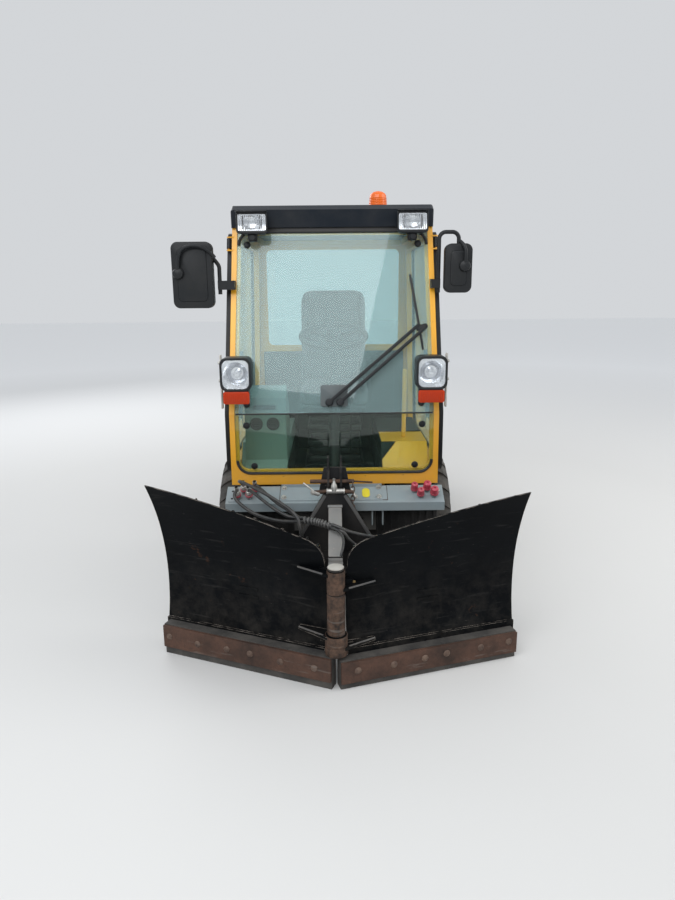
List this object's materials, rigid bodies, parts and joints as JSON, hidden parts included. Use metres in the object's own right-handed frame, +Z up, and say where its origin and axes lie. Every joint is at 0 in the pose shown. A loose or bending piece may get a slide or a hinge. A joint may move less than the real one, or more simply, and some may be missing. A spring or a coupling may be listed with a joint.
{
  "type": "compact implement carrier with V plough",
  "caption": "Narrow centre-pivot municipal carrier: glazed cab, rear engine, front level-lift hitch and a folding V snow plough.",
  "frame": {"origin": "on the floor, under the middle of the machine's box", "axes": "+Z up, -Y to the front where the plough is, +X across"},
  "size_m": [1.617, 3.3962, 2.1083],
  "materials": {
    "black_paint": "satin",
    "black_plastic": "matte",
    "console_plastic": "matte",
    "engine_iron": "rough",
    "frame_paint": "satin",
    "glass": "clear",
    "grey_paint": "satin",
    "orange_lens": "gloss",
    "ram_chrome": "polished",
    "ram_paint": "satin",
    "red_lens": "gloss",
    "rim_paint": "satin",
    "roof_plastic": "matte",
    "rubber": "matte",
    "rusty_steel": "rough",
    "seat_cover": "matte",
    "tyre": "matte",
    "yellow_paint": "gloss"
  },
  "bodies": {
    "front_module": {"front_frame": "frame_paint", "front_axle": "frame_paint", "cab_frame": "yellow_paint", "cab_floor": "yellow_paint", "roof": "roof_plastic", "windscreen_upper": "glass", "windscreen_lower": "glass", "rear_window": "glass", "seat": "seat_cover", "console": "console_plastic", "steering": "black_plastic", "front_beam": "grey_paint", "front_lamps": "black_plastic", "work_lamps": "black_plastic", "beacon": "orange_lens", "wiper": "black_plastic", "mirrors": "black_plastic", "tool_box": "grey_paint", "fuel_tank": "grey_paint"},
    "rear_module": {"rear_frame": "frame_paint", "rear_axle": "frame_paint", "engine": "engine_iron", "rear_guards": "black_plastic", "tail_lamps": "red_lens", "bulkhead": "black_paint"},
    "bonnet": {"bonnet": "yellow_paint", "grille": "black_plastic"},
    "door_left": {"door_left": "black_paint", "door_glass_left": "glass"},
    "door_right": {"door_right": "black_paint", "door_glass_right": "glass"},
    "lift_arms": {"lift_arms": "frame_paint", "coupler_hoses": "rubber"},
    "lift_links": {"lift_links": "frame_paint"},
    "hitch": {"hitch_carrier": "black_paint", "plough_frame": "black_paint", "boom_hoses": "rubber"},
    "wing_left": {"mouldboard_left": "black_paint", "plough_edge_left": "rubber", "wear_strip_left": "rusty_steel"},
    "wing_right": {"mouldboard_right": "black_paint", "plough_edge_right": "rubber", "wear_strip_right": "rusty_steel"},
    "wing_barrel_left": {"wing_barrel_left": "ram_paint"},
    "wing_rod_left": {"wing_rod_left": "ram_chrome"},
    "wing_barrel_right": {"wing_barrel_right": "ram_paint"},
    "wing_rod_right": {"wing_rod_right": "ram_chrome"},
    "lift_barrel": {"lift_barrel": "ram_paint"},
    "lift_rod": {"lift_rod": "ram_chrome"},
    "steer_barrel": {"steer_barrel": "ram_paint"},
    "steer_rod": {"steer_rod": "ram_chrome"},
    "wheel_front_left": {"tyre_front_left": "tyre", "rim_front_left": "rim_paint"},
    "wheel_front_right": {"tyre_front_right": "tyre", "rim_front_right": "rim_paint"},
    "wheel_rear_left": {"tyre_rear_left": "tyre", "rim_rear_left": "rim_paint"},
    "wheel_rear_right": {"tyre_rear_right": "tyre", "rim_rear_right": "rim_paint"}
  },
  "joints": [
    {"name": "spin_front_left", "type": "hinge", "parent": "front_module", "child": "wheel_front_left", "pos_m": [-0.46, -0.58, 0.36], "axis": [1, 0, 0], "continuous": true},
    {"name": "spin_front_right", "type": "hinge", "parent": "front_module", "child": "wheel_front_right", "pos_m": [0.46, -0.58, 0.36], "axis": [1, 0, 0], "continuous": true},
    {"name": "spin_rear_left", "type": "hinge", "parent": "rear_module", "child": "wheel_rear_left", "pos_m": [-0.46, 0.92, 0.36], "axis": [1, 0, 0], "continuous": true},
    {"name": "spin_rear_right", "type": "hinge", "parent": "rear_module", "child": "wheel_rear_right", "pos_m": [0.46, 0.92, 0.36], "axis": [1, 0, 0], "continuous": true},
    {"name": "steer", "type": "hinge", "parent": "front_module", "child": "rear_module", "pos_m": [0, 0.18, 0.445], "axis": [0, 0, 1], "range_deg": [-35, 35]},
    {"name": "steer_ram_swing", "type": "hinge", "parent": "front_module", "child": "steer_barrel", "pos_m": [-0.1, -0.29, 0.445], "axis": [0, 0, 1], "range_deg": [-3, 3]},
    {"name": "steer_ram_slide", "type": "slide", "parent": "steer_barrel", "child": "steer_rod", "axis": [0, 1, 0], "range_m": [-0.065, 0.065]},
    {"name": "lift", "type": "hinge", "parent": "front_module", "child": "lift_arms", "pos_m": [0, -0.85, 0.33], "axis": [-1, 0, 0], "range_deg": [0, 26], "deforming": ["coupler_hoses"]},
    {"name": "lift_link", "type": "hinge", "parent": "front_module", "child": "lift_links", "pos_m": [0, -0.85, 0.44], "axis": [-1, 0, 0], "range_deg": [0, 26]},
    {"name": "hitch_level", "type": "hinge", "parent": "lift_arms", "child": "hitch", "pos_m": [0, -1.1591, 0.24718], "axis": [-1, 0, 0], "range_deg": [-26, 0]},
    {"name": "lift_ram_swing", "type": "hinge", "parent": "front_module", "child": "lift_barrel", "pos_m": [0, -0.8, 0.545], "axis": [-1, 0, 0], "range_deg": [0, 13.77]},
    {"name": "lift_ram_slide", "type": "slide", "parent": "lift_barrel", "child": "lift_rod", "axis": [0, -0.7683, -0.6401], "range_m": [-0.0708, 0]},
    {"name": "wing_left", "type": "hinge", "parent": "hitch", "child": "wing_left", "pos_m": [0, -1.645, 0.33], "axis": [0, 0, -1], "range_deg": [-22.5, 7.5]},
    {"name": "wing_ram_swing_left", "type": "hinge", "parent": "hitch", "child": "wing_barrel_left", "pos_m": [-0.03, -1.304, 0.33], "axis": [0, 0, -1], "range_deg": [-16.98, 5.66]},
    {"name": "wing_ram_slide_left", "type": "slide", "parent": "wing_barrel_left", "child": "wing_rod_left", "axis": [-0.9511, -0.309, 0], "range_m": [-0.0443, 0.1329]},
    {"name": "wing_right", "type": "hinge", "parent": "hitch", "child": "wing_right", "pos_m": [0, -1.645, 0.33], "axis": [0, 0, 1], "range_deg": [-17.5, 12.5]},
    {"name": "wing_ram_swing_right", "type": "hinge", "parent": "hitch", "child": "wing_barrel_right", "pos_m": [0.03, -1.304, 0.33], "axis": [0, 0, 1], "range_deg": [-13.22, 9.45]},
    {"name": "wing_ram_slide_right", "type": "slide", "parent": "wing_barrel_right", "child": "wing_rod_right", "axis": [0.9287, -0.3709, 0], "range_m": [-0.0738, 0.1033]},
    {"name": "door_left", "type": "hinge", "parent": "front_module", "child": "door_left", "pos_m": [-0.49307, -1.07576, 1.12], "axis": [0.0246, 0.2452, 0.9692], "range_deg": [0, 70]},
    {"name": "door_right", "type": "hinge", "parent": "front_module", "child": "door_right", "pos_m": [0.49307, -1.07576, 1.12], "axis": [0.0246, -0.2452, -0.9692], "range_deg": [0, 70]},
    {"name": "bonnet", "type": "hinge", "parent": "rear_module", "child": "bonnet", "pos_m": [0, 0.356, 1.126], "axis": [1, 0, 0], "range_deg": [0, 60]}
  ],
  "couplings": [
    {"joint": "steer_ram_swing", "follows": "steer", "ratio": -0.00549},
    {"joint": "steer_ram_slide", "follows": "steer", "m_per_rad": -0.09571},
    {"joint": "lift_link", "follows": "lift", "ratio": 1},
    {"joint": "hitch_level", "follows": "lift", "ratio": -1},
    {"joint": "lift_ram_swing", "follows": "lift", "ratio": 0.50429},
    {"joint": "lift_ram_slide", "follows": "lift", "m_per_rad": -0.14859},
    {"joint": "wing_ram_swing_left", "follows": "wing_left", "ratio": 0.71882},
    {"joint": "wing_ram_slide_left", "follows": "wing_left", "m_per_rad": -0.32243},
    {"joint": "wing_ram_swing_right", "follows": "wing_right", "ratio": 0.71973},
    {"joint": "wing_ram_slide_right", "follows": "wing_right", "m_per_rad": -0.322}
  ]
}
